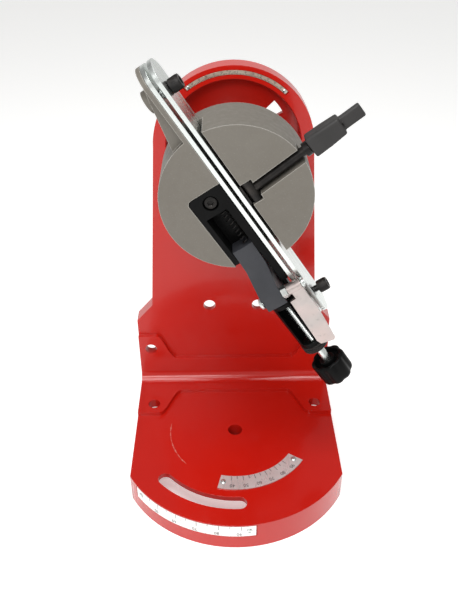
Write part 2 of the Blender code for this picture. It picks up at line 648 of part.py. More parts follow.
def pawl(hinge):
    """Pressed plate with a rolled eye; it folds over on to the rails."""
    shape = [(-2, -5.4), (8, -5.4), (8.4, -10.3), (45, -11.7), (52, -12), (56, -10.6),
             (58.2, -0.2), (57, 1.2), (28.5, 3.8), (-2, 4.3)]
    plate = outline("pawl", [(x * MM, z * MM) for x, z in shape], -3.75 * MM, -1.25 * MM, hinge,
                    "XZ", NICKEL)
    eye = rod("pawl_eye", 4.4 * MM, (0, 0, -7.3 * MM), (0, 0, 4.3 * MM), hinge, segments=28)
    bore = rod("pawl_bore", PIN_RADIUS + GAP, (0, 0, -20 * MM), (0, 0, 20 * MM), hinge, segments=20)
    join(plate, eye)
    cut(plate, bore)


def return_spring(vise):
    """Compression spring between the housing and the slider."""
    start, end, turns, radius = 2.3 * MM, 34.1 * MM, 9, 2.4 * MM
    steps = 10 * turns
    curve = bpy.data.curves.new("return_spring", "CURVE")
    curve.dimensions = "3D"
    curve.bevel_depth = 0.4 * MM
    curve.bevel_resolution = 2
    curve.use_fill_caps = True
    spline = curve.splines.new("POLY")
    spline.points.add(steps)
    for i, point in enumerate(spline.points):
        turn = 2 * math.pi * turns * i / steps
        x = start + (end - start) * i / steps
        point.co = (x, radius * math.cos(turn), radius * math.sin(turn), 1)
    obj = bpy.data.objects.new("return_spring", curve)
    obj.parent = vise
    obj.location = from_vise(0, 5.5, -13.6)
    PARTS.objects.link(obj)
    curve.materials.append(material("return_spring", *STEEL_BLACK))


def screw_tube(vise):
    """Slotted tube with a round nut at its end; both stay with the housing."""
    axis_low, axis_high = (90.8 * MM, STOP_Y, STOP_Z), (138.3 * MM, STOP_Y, STOP_Z)
    tube = rod("screw_tube", TUBE_RADIUS, axis_low, axis_high, vise, PLASTIC_BLACK, 32)
    inside = rod("tube_inside", 7.9 * MM, (80 * MM, STOP_Y, STOP_Z), (150 * MM, STOP_Y, STOP_Z), vise,
                 segments=28)
    window = box("tube_window", (94.5 * MM, STOP_Y - 20 * MM, STOP_Z - 7 * MM),
                 (134.5 * MM, STOP_Y - 1.5 * MM, STOP_Z + 7 * MM), vise)
    cut(tube, inside, window)
    profile = [(0, 0), (0, 10.9 * MM), (1.6 * MM, 10.9 * MM), (1.9 * MM, 10.2 * MM),
               (2.3 * MM, 10.2 * MM), (2.6 * MM, 10.9 * MM), (6.3 * MM, 10.9 * MM),
               (6.9 * MM, 10.3 * MM), (6.9 * MM, 0)]
    start = (138.6 * MM, STOP_Y, STOP_Z)
    nut = turned("screw_collar", profile, start, (150 * MM, STOP_Y, STOP_Z), vise, STEEL_BLACK, 32)
    bore = rod("collar_bore", ROD_RADIUS + 0.5 * MM, (120 * MM, STOP_Y, STOP_Z),
               (155 * MM, STOP_Y, STOP_Z), vise, segments=24)
    cut(nut, bore)


def lobed(lobes, steps, reach, wave):
    """Outline of a knob whose rim waves about a mean radius."""
    turns = [2 * math.pi * i / steps for i in range(steps)]
    radii = [reach + wave * math.cos(lobes * turn) for turn in turns]
    return [(r * math.cos(turn), r * math.sin(turn)) for r, turn in zip(radii, turns)]


def stop_screw(turn):
    """Adjusting screw and lobed knob, about the knob's own axis."""
    tip, thread_end, end = 61 * MM - KNOB_X[0], 146.5 * MM - KNOB_X[0], 15.5 * MM
    profile = [(tip, 0), (tip, 2.6 * MM), (tip + MM, 3.1 * MM), (thread_end, 3.1 * MM),
               (thread_end, ROD_RADIUS), (end, ROD_RADIUS), (end, 0)]
    turned("adjusting_screw", profile, (0, 0, 0), (MM, 0, 0), turn, ZINC, 24)
    rim = lobed(8, 64, KNOB_RADIUS - 0.9 * MM, 0.9 * MM)
    knob = outline("stop_knob", rim, 0, KNOB_X[1] - KNOB_X[0], turn, "YZ", PLASTIC_BLACK)
    recess = rod("knob_recess", 11 * MM, (-5 * MM, 0, 0), (5 * MM, 0, 0), turn, segments=32)
    hub = rod("knob_hub", 6.6 * MM, (0.6 * MM, 0, 0), (6 * MM, 0, 0), turn, segments=28)
    bore = rod("knob_bore", ROD_RADIUS + GAP, (-5 * MM, 0, 0), (16 * MM, 0, 0), turn, segments=24)
    cut(knob, recess)
    join(knob, hub)
    cut(knob, bore)


# Swivel lock behind the cup

def swivel_lock(vise, washer_slide, knob_turn):
    neck_end = CUP_FLOOR_Y - FACE_Y
    floor_back = neck_end + CUP_FLOOR
    rod("pivot_stud", 5 * MM, (0, 80 * MM, 0), (0, floor_back + 16 * MM, 0), vise, ZINC, 24)
    pin_x, pin_z = arc((0, 0), SWIVEL_SLOT[0], STOP_PIN_ANGLE, STOP_PIN_ANGLE, 1)[0]
    rod("swivel_stop_pin", 4.6 * MM, (pin_x, neck_end - 10 * MM, pin_z),
        (pin_x, floor_back + 2 * MM, pin_z), vise, ZINC, 20)
    stud_hole = rod("washer_hole", 5.4 * MM, (0, 100 * MM, 0), (0, 160 * MM, 0), vise, segments=24)
    washer = rod("clamp_washer", 15 * MM, (0, 0, 0), (0, 2.5 * MM, 0), washer_slide, ZINC, 32)
    cut(washer, stud_hole)
    rim = lobed(6, 60, 20 * MM, 2.4 * MM)
    knob = outline("swivel_lock_knob", rim, GAP, 14 * MM, knob_turn, "XZ", PLASTIC_BLACK)
    cut(knob, stud_hole)


def swivel_bush(pivot):
    bush = rod("swivel_bush", 8 * MM, (0, CUP_FLOOR_Y + GAP, AXIS_Z),
               (0, CUP_FLOOR_Y + CUP_FLOOR - GAP, AXIS_Z), pivot, BRONZE, 28)
    bore = rod("bush_bore", 5.4 * MM, (0, 80 * MM, AXIS_Z), (0, 110 * MM, AXIS_Z), pivot, segments=24)
    cut(bush, bore)


def build():
    pivot = empty("tilt_pivot", (0, -REST_RIB_Y, 0))
    vise = empty("vise", (0, FACE_Y, AXIS_Z), pivot, (0, RAIL_TILT, 0))
    lever_pivot = empty("clamp_lever_pivot", LEVER, vise)
    lever_line = empty("lever_line", (0, 0, 0), lever_pivot, (0, LEVER_SKEW, 0))
    stop = empty("chain_stop", (PIN_X, PIN_Y, 0), vise)
    pawl_hinge = empty("pawl_hinge", (0, 0, 0), stop)
    screw_turn = empty("stop_screw", (KNOB_X[0], STOP_Y, STOP_Z), vise)
    lock_slide = empty("lock_slide", (0, CUP_FLOOR_Y + CUP_FLOOR - FACE_Y + 0.5 * MM, 0), vise)
    lock_turn = empty("lock_turn", (0, 2.5 * MM, 0), lock_slide)

    frame_casting(pivot)
    scale_plates(pivot)
    rivets(pivot)
    swivel_bush(pivot)
    vise_casting(vise)
    rails(vise)
    clamp_lever(lever_line)
    stop_housing(vise)
    slider(stop)
    cross_pin(stop)
    pawl(pawl_hinge)
    return_spring(vise)
    screw_tube(vise)
    stop_screw(screw_turn)
    swivel_lock(vise, lock_slide, lock_turn)


build()
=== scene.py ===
"""Looks of a chain grinder's base and vise: finer shapes, materials, studio and camera.

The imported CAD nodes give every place.  Most nodes are shown as a finer copy of their own
mesh, with rounded edges; screws, knobs, the return spring, the lever's grip and the rivets
are modelled again in more detail where they stand.
"""
import json
import math

import bmesh
import bpy
from mathutils import Matrix, Vector


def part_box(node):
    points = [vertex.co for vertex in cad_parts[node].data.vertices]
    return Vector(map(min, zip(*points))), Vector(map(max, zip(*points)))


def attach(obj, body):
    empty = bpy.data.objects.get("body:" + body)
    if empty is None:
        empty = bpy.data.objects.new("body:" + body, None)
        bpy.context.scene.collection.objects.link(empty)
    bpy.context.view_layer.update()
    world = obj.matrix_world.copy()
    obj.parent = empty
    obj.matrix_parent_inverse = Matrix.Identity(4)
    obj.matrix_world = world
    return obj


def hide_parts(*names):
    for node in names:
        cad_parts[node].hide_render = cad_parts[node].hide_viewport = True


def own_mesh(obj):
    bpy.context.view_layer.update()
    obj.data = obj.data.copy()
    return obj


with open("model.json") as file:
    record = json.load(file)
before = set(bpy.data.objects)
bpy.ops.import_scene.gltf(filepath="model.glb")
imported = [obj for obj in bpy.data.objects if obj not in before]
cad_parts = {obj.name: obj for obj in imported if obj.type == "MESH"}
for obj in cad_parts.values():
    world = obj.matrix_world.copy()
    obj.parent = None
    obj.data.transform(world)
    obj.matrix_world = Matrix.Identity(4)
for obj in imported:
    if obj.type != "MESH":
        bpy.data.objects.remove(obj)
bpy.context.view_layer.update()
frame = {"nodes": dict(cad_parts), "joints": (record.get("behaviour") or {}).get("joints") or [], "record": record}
MM = 0.001
TURN = 2 * math.pi
NODES = frame["nodes"]
JOINTS = {joint["name"]: joint for joint in frame["joints"]}
BODIES = frame["record"]["behaviour"]["bodies"]
BODY_OF = {node: body for body, members in BODIES.items() for node in members}
SLOT_OF = {part["node"]: part["material_slot"] for part in frame["record"]["subparts"]}

# Axes of the vise: along the rails to the chain stop, into the drum, across the rails
# to the lever
ALONG = Vector(JOINTS["clamp_lever_swing"]["axis"])
ACROSS = -Vector(JOINTS["rail_clamp_slide"]["axis"])
INTO = Vector((0, 1, 0))
SWIVEL = Vector(JOINTS["vise_swivel"]["pos_m"])
VISE = Matrix((ALONG, INTO, ACROSS)).transposed().to_4x4()
VISE.translation = (SWIVEL.x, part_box("vise_body")[0].y, SWIVEL.z)

# The tilt pivot's hole is midway along the base plate's round front
BASE_RADIUS = 106 * MM
TILT_PIVOT = Vector((0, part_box("frame")[0].y + BASE_RADIUS, 0))


# Materials

def set_range(node, low, high, to_low, to_high):
    """Set what a Map Range node maps from and to."""
    for key, number in (("From Min", low), ("From Max", high),
                        ("To Min", to_low), ("To Max", to_high)):
        node.inputs[key].default_value = number


class Look:
    """A Principled material, with short ways to vary it by noise."""

    def __init__(self, name, colour, roughness, metallic=0.0, **settings):
        self.material = bpy.data.materials.new(name)
        self.material.use_nodes = True
        self.nodes = self.material.node_tree.nodes
        self.links = self.material.node_tree.links
        self.shader = self.nodes["Principled BSDF"]
        self.colour = colour
        self.shader.inputs["Base Color"].default_value = (*colour, 1)
        self.shader.inputs["Roughness"].default_value = roughness
        self.shader.inputs["Metallic"].default_value = metallic
        for key, value in settings.items():
            self.shader.inputs[key.replace("_", " ")].default_value = value
        self.place = self.add("ShaderNodeTexCoord").outputs["Object"]

    def add(self, kind, **settings):
        node = self.nodes.new(kind)
        for key, value in settings.items():
            setattr(node, key, value)
        return node

    def feed(self, socket, value):
        """Set a socket's value, or link another socket to it."""
        if isinstance(value, bpy.types.NodeSocket):
            self.links.new(value, socket)
        else:
            socket.default_value = value

    def maths(self, operation, *values):
        node = self.add("ShaderNodeMath", operation=operation)
        for socket, value in zip(node.inputs, values):
            self.feed(socket, value)
        return node.outputs[0]

    def texture(self, kind, scale, stretch=(1, 1, 1)):
        """A texture node placed in the object's own space."""
        mapping = self.add("ShaderNodeMapping")
        mapping.inputs["Scale"].default_value = stretch
        self.links.new(self.place, mapping.inputs["Vector"])
        node = self.add(kind)
        node.inputs["Scale"].default_value = scale
        self.links.new(mapping.outputs[0], node.inputs["Vector"])
        return node

    def noise(self, scale, detail=3.0, stretch=(1, 1, 1)):
        node = self.texture("ShaderNodeTexNoise", scale, stretch)
        node.inputs["Detail"].default_value = detail
        return node.outputs["Fac"]

    def cells(self, scale):
        return self.texture("ShaderNodeTexVoronoi", scale).outputs["Distance"]

    def between(self, value, low, high, to_low=0.0, to_high=1.0):
        node = self.add("ShaderNodeMapRange")
        self.feed(node.inputs["Value"], value)
        set_range(node, low, high, to_low, to_high)
        return node.outputs["Result"]

    def edges(self, radius, low=0.02, high=0.12):
        """1 near an edge and 0 on the flats."""
        bevel = self.add("ShaderNodeBevel", samples=4)
        bevel.inputs["Radius"].default_value = radius
        dot = self.add("ShaderNodeVectorMath", operation="DOT_PRODUCT")
        self.links.new(bevel.outputs[0], dot.inputs[0])
        self.links.new(self.add("ShaderNodeNewGeometry").outputs["Normal"], dot.inputs[1])
        return self.between(dot.outputs["Value"], 1 - low, 1 - high)

    def tint(self, factor, colour):
        """Blend the base colour so far towards another one by a factor."""
        mix = self.add("ShaderNodeMix", data_type="RGBA")
        base = self.shader.inputs["Base Color"]
        self.feed(mix.inputs["Factor"], factor)
        before = base.links[0].from_socket if base.links else (*self.colour, 1)
        self.feed(mix.inputs["A"], before)
        mix.inputs["B"].default_value = (*colour, 1)
        self.links.new(mix.outputs["Result"], base)

    def rough(self, value, low, high):
        varied = self.between(value, 0.3, 0.7, low, high)
        self.links.new(varied, self.shader.inputs["Roughness"])

    def bump(self, height, depth):
        """Add a height in metres to the surface, on top of any bump before."""
        node = self.add("ShaderNodeBump")
        node.inputs["Strength"].default_value = 1.0
        node.inputs["Distance"].default_value = depth
        self.links.new(height, node.inputs["Height"])
        normal = self.shader.inputs["Normal"]
        if normal.links:
            self.links.new(normal.links[0].from_socket, node.inputs["Normal"])
        self.links.new(node.outputs[0], normal)


def red_paint():
    look = Look("red_paint", (0.45, 0.0085, 0.0035), 0.24, Specular_IOR_Level=0.32,
                Coat_Weight=0.25, Coat_Roughness=0.08)
    look.tint(look.between(look.noise(9), 0.35, 0.75), (0.40, 0.0065, 0.003))
    look.tint(look.between(look.noise(420, 2), 0.72, 0.8, 0, 0.3), (0.50, 0.03, 0.02))
    look.tint(wear_mark(look), (0.50, 0.20, 0.16))
    look.rough(look.noise(60, 4), 0.18, 0.27)
    look.bump(look.noise(330, 2), 0.012 * MM)
    look.bump(look.noise(75, 2), 0.04 * MM)
    return look.material


def wear_mark(look):
    """A thin rubbed arc beside the pivot, where the grinding head's foot has turned."""
    radius, half = 59.4 * MM, 0.45 * MM
    split = look.add("ShaderNodeSeparateXYZ")
    look.links.new(look.place, split.inputs[0])
    x, y, z = split.outputs
    forward = look.maths("SUBTRACT", y, TILT_PIVOT.y)
    reach = look.maths("SQRT", look.maths("ADD", look.maths("MULTIPLY", x, x),
                                          look.maths("MULTIPLY", forward, forward)))
    off = look.maths("ABSOLUTE", look.maths("SUBTRACT", reach, radius))
    wobble = look.between(look.noise(180, 4), 0.3, 0.7, -0.35 * MM, 0.35 * MM)
    line = look.between(look.maths("ADD", off, wobble), half, half * 0.4)
    turn = look.maths("ARCTAN2", look.maths("MULTIPLY", forward, -1),
                      look.maths("MULTIPLY", x, -1))
    first = look.between(turn, math.radians(-9), math.radians(-6))
    last = look.between(turn, math.radians(44), math.radians(41))
    low = look.between(z, 30 * MM, 29 * MM)
    high = look.between(z, 26 * MM, 27 * MM)
    patchy = look.between(look.noise(700, 3), 0.42, 0.5, 0.25, 0.85)
    mask = line
    for factor in (first, last, low, high, patchy):
        mask = look.maths("MULTIPLY", mask, factor)
    return mask


def cast_grey():
    look = Look("cast_grey", (0.140, 0.128, 0.108), 0.54, 0.15)
    look.tint(look.between(look.noise(26, 5), 0.35, 0.7), (0.128, 0.116, 0.097))
    look.tint(look.between(look.noise(900, 2), 0.6, 0.75, 0, 0.4), (0.23, 0.215, 0.195))
    look.tint(look.edges(0.8 * MM), (0.40, 0.385, 0.355))
    look.rough(look.noise(240, 3), 0.44, 0.62)
    look.bump(look.noise(1100, 3), 0.018 * MM)
    look.bump(look.noise(240, 3), 0.025 * MM)
    return look.material


def zinc():
    look = Look("zinc", (0.70, 0.725, 0.71), 0.24, 1.0)
    look.tint(look.between(look.cells(420), 0.2, 0.9), (0.62, 0.66, 0.64))
    look.tint(look.between(look.noise(70, 4), 0.5, 0.75, 0, 0.6), (0.56, 0.58, 0.54))
    look.rough(look.noise(160, 4), 0.2, 0.36)
    look.bump(look.noise(700, 3), 0.02 * MM)
    return look.material


def rolled_zinc():
    """Zinc on rolled strip, with fine lines along the rails."""
    look = Look("rolled_zinc", (0.72, 0.745, 0.73), 0.2, 1.0)
    turned = look.add("ShaderNodeMapping")
    turned.inputs["Rotation"].default_value = VISE.to_3x3().inverted().to_euler()
    look.links.new(look.place, turned.inputs["Vector"])
    look.place = turned.outputs[0]
    look.tint(look.between(look.noise(90, 3, (0.1, 1, 1)), 0.35, 0.75), (0.65, 0.69, 0.67))
    look.tint(look.between(look.noise(60, 4), 0.5, 0.75, 0, 0.5), (0.62, 0.67, 0.63))
    look.rough(look.noise(160, 3, (0.1, 1, 1)), 0.2, 0.32)
    look.bump(look.noise(300, 2, (0.05, 1, 1)), 0.006 * MM)
    return look.material


def black_oxide():
    look = Look("black_oxide", (0.011, 0.010, 0.0095), 0.32, 0.7)
    look.tint(look.between(look.noise(120, 4), 0.45, 0.75), (0.030, 0.026, 0.023))
    look.tint(look.edges(0.25 * MM, 0.05, 0.25), (0.14, 0.13, 0.125))
    look.rough(look.noise(500, 3), 0.28, 0.46)
    look.bump(look.noise(1500, 2), 0.02 * MM)
    return look.material


def moulded(name, colour, roughness, grain, shine=0.3):
    look = Look(name, colour, roughness, 0.0, Specular_IOR_Level=shine)
    lighter = [channel * 1.3 + 0.001 for channel in colour]
    look.tint(look.between(look.noise(45, 4), 0.4, 0.75), lighter)
    look.tint(look.edges(0.3 * MM, 0.05, 0.3), [channel * 1.6 + 0.004 for channel in colour])
    look.rough(look.noise(300, 3), roughness - 0.06, roughness + 0.08)
    look.bump(look.cells(grain), 0.015 * MM)
    return look.material


def pressed_steel():
    look = Look("pressed_steel", (0.50, 0.42, 0.40), 0.36, 1.0)
    look.tint(look.between(look.noise(50, 4), 0.4, 0.7), (0.44, 0.40, 0.385))
    look.tint(look.between(look.noise(260, 4), 0.6, 0.75, 0, 0.6), (0.30, 0.28, 0.26))
    look.rough(look.noise(180, 4), 0.28, 0.44)
    look.bump(look.noise(900, 3), 0.03 * MM)
    return look.material


def printed_plate(name, colour, shade):
    look = Look(name, colour, 0.3, 0.55)
    look.tint(look.between(look.noise(60, 4), 0.4, 0.75), shade)
    look.rough(look.noise(300, 3, (1, 0.2, 1)), 0.24, 0.38)
    look.bump(look.noise(1400, 2, (1, 0.1, 1)), 0.01 * MM)
    return look.material


def ink():
    look = Look("ink", (0.012, 0.012, 0.014), 0.5)
    look.tint(look.between(look.noise(900, 2), 0.55, 0.75, 0, 0.5), (0.10, 0.10, 0.10))
    return look.material


def bronze():
    look = Look("bronze", (0.42, 0.26, 0.10), 0.38, 1.0)
    look.tint(look.between(look.noise(200, 4), 0.4, 0.7), (0.32, 0.19, 0.08))
    look.bump(look.noise(1600, 2), 0.03 * MM)
    return look.material


LOOKS = {
    "red_paint": red_paint(),
    "cast_grey": cast_grey(),
    "zinc": zinc(),
    "rolled_zinc": rolled_zinc(),
    "black_steel": black_oxide(),
    "black_plastic": moulded("black_plastic", (0.003, 0.003, 0.003), 0.34, 1500, 0.07),
    "grey_plastic": moulded("grey_plastic", (0.026, 0.027, 0.031), 0.40, 1500),
    "grip_plastic": moulded("grip_plastic", (0.022, 0.021, 0.0205), 0.52, 1200),
    "pawl_steel": pressed_steel(),
    "scale_plate": printed_plate("scale_plate", (0.66, 0.65, 0.64), (0.58, 0.55, 0.54)),
    "white_plate": printed_plate("white_plate", (0.80, 0.80, 0.79), (0.72, 0.71, 0.69)),
    "worn_plate": printed_plate("worn_plate", (0.62, 0.52, 0.42), (0.46, 0.30, 0.24)),
    "ink": ink(),
    "bronze": bronze(),
}


# Pieces

def piece(name, bm, node, matrix=None, look=None, stands_for=True, sharp=40):
    """Make a mesh piece that rides with a CAD node's body, and by default stands for that node."""
    bmesh.ops.recalc_face_normals(bm, faces=bm.faces)
    mesh = bpy.data.meshes.new(name)
    bm.to_mesh(mesh)
    bm.free()
    mesh.shade_smooth()
    mesh.set_sharp_from_angle(angle=math.radians(sharp))
    obj = bpy.data.objects.new(name, mesh)
    bpy.context.scene.collection.objects.link(obj)
    if matrix is not None:
        obj.matrix_world = matrix
    mesh.materials.append(LOOKS[look or SLOT_OF[node]])
    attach(obj, BODY_OF[node])
    if stands_for:
        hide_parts(node)
    return obj


def cad_mesh(node):
    """The CAD node's solid with its triangles joined back into whole faces."""
    bm = bmesh.new()
    bm.from_mesh(NODES[node].data)
    bmesh.ops.remove_doubles(bm, verts=bm.verts, dist=0.002 * MM)
    bmesh.ops.dissolve_limit(bm, angle_limit=math.radians(0.6), verts=bm.verts, edges=bm.edges)
    return bm


def rounded(node, width, look=None, segments=2, angle=32):
    """A copy of a CAD node with its sharp edges rounded, by a width or a rule for each edge."""
    bm = cad_mesh(node)
    edges = [edge for edge in bm.edges
             if len(edge.link_faces) == 2 and edge.calc_face_angle(0) > math.radians(angle)]
    widths = {}
    for edge in edges:
        amount = width(edge) if callable(width) else width
        if amount:
            widths.setdefault(round(amount, 7), []).append(edge)
    for amount in sorted(widths, reverse=True):
        group = [edge for edge in widths[amount] if edge.is_valid]
        bmesh.ops.bevel(bm, geom=group, offset=amount, offset_type="OFFSET", segments=segments,
                        profile=0.5, affect="EDGES", clamp_overlap=True)
    obj = piece(node + "_shape", bm, node, look=look)
    smooth = obj.modifiers.new("face_normals", "WEIGHTED_NORMAL")
    smooth.keep_sharp = True


def along_axis(point, direction):
    """A frame at a point of the vise's axes, with +Z in one of their directions."""
    turn = Vector(direction).to_track_quat("Z", "Y").to_matrix().to_4x4()
    return VISE @ Matrix.Translation(point) @ turn


def hexagon(across):
    """Radius of a hexagon at each angle, with slightly eased corners."""
    def radius(turn):
        part = (turn % (TURN / 6)) - TURN / 12
        return across / 2 / math.cos(part) * (1 - 2 * abs(part) ** 6)
    return radius


def waves(radius, count, depth, power=1.0):
    """Radius that dips a number of times around; a higher power makes wider lobes."""
    return lambda turn: radius - depth * (0.5 - 0.5 * math.cos(count * turn)) ** power


def stack(rows, steps, ring=False):
    """Skin rows of (height, radius); a radius may be a rule for each angle, and 0 closes an end."""
    bm = bmesh.new()
    rings = []
    for height, radius in rows:
        if radius == 0:
            rings.append([bm.verts.new((0, 0, height))])
            continue
        row = []
        for i in range(steps):
            turn = TURN * i / steps
            reach = radius(turn) if callable(radius) else radius
            row.append(bm.verts.new((reach * math.cos(turn), reach * math.sin(turn), height)))
        rings.append(row)
    pairs = list(zip(rings, rings[1:]))
    if ring:
        pairs.append((rings[-1], rings[0]))
    for low, high in pairs:
        for i in range(steps):
            j = (i + 1) % steps
            corners = [low[i % len(low)], low[j % len(low)],
                       high[j % len(high)], high[i % len(high)]]
            bm.faces.new(list(dict.fromkeys(corners)))
    return bm


def rim(start, end, centre_height, centre_radius, radius, steps=4):
    """Rows round a corner of a turned profile, in degrees from outward to upward."""
    turns = [math.radians(start + (end - start) * i / steps) for i in range(steps + 1)]
    return [(centre_height + radius * math.sin(turn), centre_radius + radius * math.cos(turn))
            for turn in turns]


def local_box(node, matrix=VISE):
    """Lowest and highest corner of a CAD node in the vise's axes, or in a matrix's."""
    inverse = matrix.inverted()
    points = [inverse @ vert.co for vert in NODES[node].data.vertices]
    corners = [[pick(point[i] for point in points) for i in range(3)] for pick in (min, max)]
    return Vector(corners[0]), Vector(corners[1])


def evaluated_mesh(name, data):
    """The mesh that a curve or text makes, without keeping its object."""
    maker = bpy.data.objects.new(name, data)
    bpy.context.scene.collection.objects.link(maker)
    graph = bpy.context.evaluated_depsgraph_get()
    mesh = bpy.data.meshes.new_from_object(maker.evaluated_get(graph))
    bpy.data.objects.remove(maker, do_unlink=True)
    return mesh


# Frame

def frame_edge_width(edge):
    """Large radii on the casting's outline, small ones round holes and seats."""
    middle = (edge.verts[0].co + edge.verts[1].co) / 2
    from_swivel = math.hypot(middle.x - SWIVEL.x, middle.z - SWIVEL.z)
    from_pivot = math.hypot(middle.x - TILT_PIVOT.x, middle.y - TILT_PIVOT.y)
    in_arch = middle.z > 180 * MM and middle.y < 45 * MM and from_swivel < 64 * MM
    in_cup = from_swivel < 57 * MM
    on_base_top = middle.z < 29 * MM and middle.y < -50 * MM and from_pivot < 91 * MM
    at_label_seat = from_pivot > 103 * MM and 13 * MM < middle.z < 27 * MM
    if in_arch:
        return 0.7 * MM if in_cup else 0.25 * MM
    if on_base_top:
        return 0.6 * MM
    if at_label_seat:
        return 0.15 * MM
    return 1.3 * MM


# Scale plates

def add_tick(bm, matrix, length, width):
    """A printed line from the matrix's origin along its +Y."""
    thick = 0.04 * MM
    made = bmesh.ops.create_cube(bm, size=1.0)
    scale = Matrix.Diagonal((width, length, thick, 1))
    shift = Matrix.Translation((0, length / 2, thick / 2))
    bmesh.ops.transform(bm, matrix=matrix @ shift @ scale, verts=made["verts"])


def add_number(bm, matrix, text, size):
    """Number as a thin flat mesh, centred on the matrix, reading along its +X."""
    curve = bpy.data.curves.new("number", "FONT")
    curve.body = text
    curve.size = size
    curve.extrude = 0.03 * MM
    curve.align_x = "CENTER"
    curve.align_y = "CENTER"
    mesh = evaluated_mesh("number", curve)
    mesh.transform(matrix)
    bm.from_mesh(mesh)


def on_base(angle, reach):
    """On the base's scale plate, with +Y pointing away from the tilt pivot."""
    turn = math.radians(angle)
    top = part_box("base_scale_plate")[1].z
    point = TILT_PIVOT + Vector((reach * math.cos(turn), reach * math.sin(turn), top))
    return Matrix.Translation(point) @ Matrix.Rotation(turn - TURN / 4, 4, "Z")


def on_label(angle, height):
    """On the curved front plate, with +Y pointing down and +Z out of the plate."""
    turn = math.radians(angle)
    out = Vector((math.cos(turn), math.sin(turn), 0))
    down = Vector((0, 0, -1))
    matrix = Matrix((down.cross(out), down, out)).transposed().to_4x4()
    matrix.translation = TILT_PIVOT + out * BASE_RADIUS + Vector((0, 0, height))
    return matrix


def on_arch(angle, reach):
    """On the arch's scale strip, with +Y pointing away from the swivel axis."""
    turn = math.radians(angle)
    out = Vector((math.cos(turn), 0, math.sin(turn)))
    front = Vector((0, -1, 0))
    matrix = Matrix((out.cross(front), out, front)).transposed().to_4x4()
    matrix.translation = Vector((SWIVEL.x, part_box("arch_scale_strip")[0].y, SWIVEL.z)) + out * reach
    return matrix


def scale_marks():
    """Ticks every five degrees with a number every ten, and a finer scale round the arch."""
    base, label, arch = bmesh.new(), bmesh.new(), bmesh.new()
    first, base_start, label_end = 40, -94.4, -88.5
    for number in range(first, 95, 5):
        long = number % 10 == 0
        angle = base_start + number - first
        add_tick(base, on_base(angle, 56.3 * MM), (4.6 if long else 3.0) * MM, 0.42 * MM)
        if long:
            add_number(base, on_base(angle + 1.2, 66.4 * MM), str(number), 4.6 * MM)
        if number == first:
            continue
        angle = label_end + number - 90
        add_tick(label, on_label(angle, 26.2 * MM), (4.6 if long else 2.4) * MM, 0.4 * MM)
        if long:
            add_number(label, on_label(angle - 0.9, 17.2 * MM), str(number), 4.4 * MM)
    steps, pitch, arch_start = 65, 1.15, 50.5
    for step in range(steps):
        angle = arch_start + pitch * step
        from_middle = abs(step - steps // 2)
        long = from_middle % 5 == 0
        add_tick(arch, on_arch(angle, 58.35 * MM), (1.3 if long else 0.75) * MM, 0.3 * MM)
        if long:
            add_number(arch, on_arch(angle, 60.3 * MM), str(from_middle * 2), 1.7 * MM)
    for name, bm, node in (("base_scale_marks", base, "base_scale_plate"),
                           ("front_scale_marks", label, "front_scale_plate"),
                           ("arch_scale_marks", arch, "arch_scale_strip")):
        piece(name, bm, node, look="ink", stands_for=False)


def scale_plates():
    rounded("base_scale_plate", 0.15 * MM)
    rounded("front_scale_plate", 0.12 * MM, look="white_plate")
    rounded("arch_scale_strip", 0.1 * MM, look="worn_plate")
    scale_marks()


def rivets():
    """Blind rivets: a low ring of a head with the pulled stem's hole in it."""
    shank = 3.4
    profile = [(-shank, 0), (-shank, 1.25), (0.3, 1.25), (0.3, 2.35)]
    profile += rim(-20, 70, 0.45, 2.2, 0.2, 3)
    profile += [(0.85, 1.85), (1.08, 1.35), (1.15, 1.0), (1.1, 0.8), (0.95, 0.7),
                (-0.5, 0.62), (-0.6, 0)]
    for node in [name for name in NODES if "_rivet_" in name]:
        low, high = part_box(node)
        middle = (low + high) / 2
        size = 1.0
        if node.startswith("base"):
            out = Vector((0, 0, 1))
        elif node.startswith("label"):
            out = Vector((middle.x, middle.y - TILT_PIVOT.y, 0)).normalized()
        else:
            out = Vector((0, -1, 0))
            size = 0.62
        ahead = [out.dot(vert.co) for vert in NODES[node].data.vertices]
        foot = min(ahead) + shank * MM
        point = middle + out * (foot - out.dot(middle))
        matrix = Matrix.Translation(point) @ out.to_track_quat("Z", "Y").to_matrix().to_4x4()
        rows = [(height * MM * (1 if height < 0 else size), radius * MM * size)
                for height, radius in profile]
        piece(node + "_shape", stack(rows, 32), node, matrix)


# Vise casting and rails

def vise_edge_width(edge):
    """A rounder rim on the drum and arm than along the machined slots."""
    middle = VISE.inverted() @ ((edge.verts[0].co + edge.verts[1].co) / 2)
    drum_radius = 54.5 * MM
    on_arm = middle.x < -56 * MM
    if on_arm:
        return 0.8 * MM
    if abs(math.hypot(middle.x, middle.z) - drum_radius) < 0.6 * MM:
        return 0.55 * MM
    return 0.3 * MM


def rails():
    for node in ("fixed_rail", "moving_rail"):
        rounded(node, 0.35 * MM, look="rolled_zinc", segments=3)
    for node in ("rail_spring_left", "rail_spring_right", "rail_nut", "pressure_pad"):
        rounded(node, 0.15 * MM)
    for node in ("cap_screw_left", "cap_screw_right"):
        cap_screw(node)


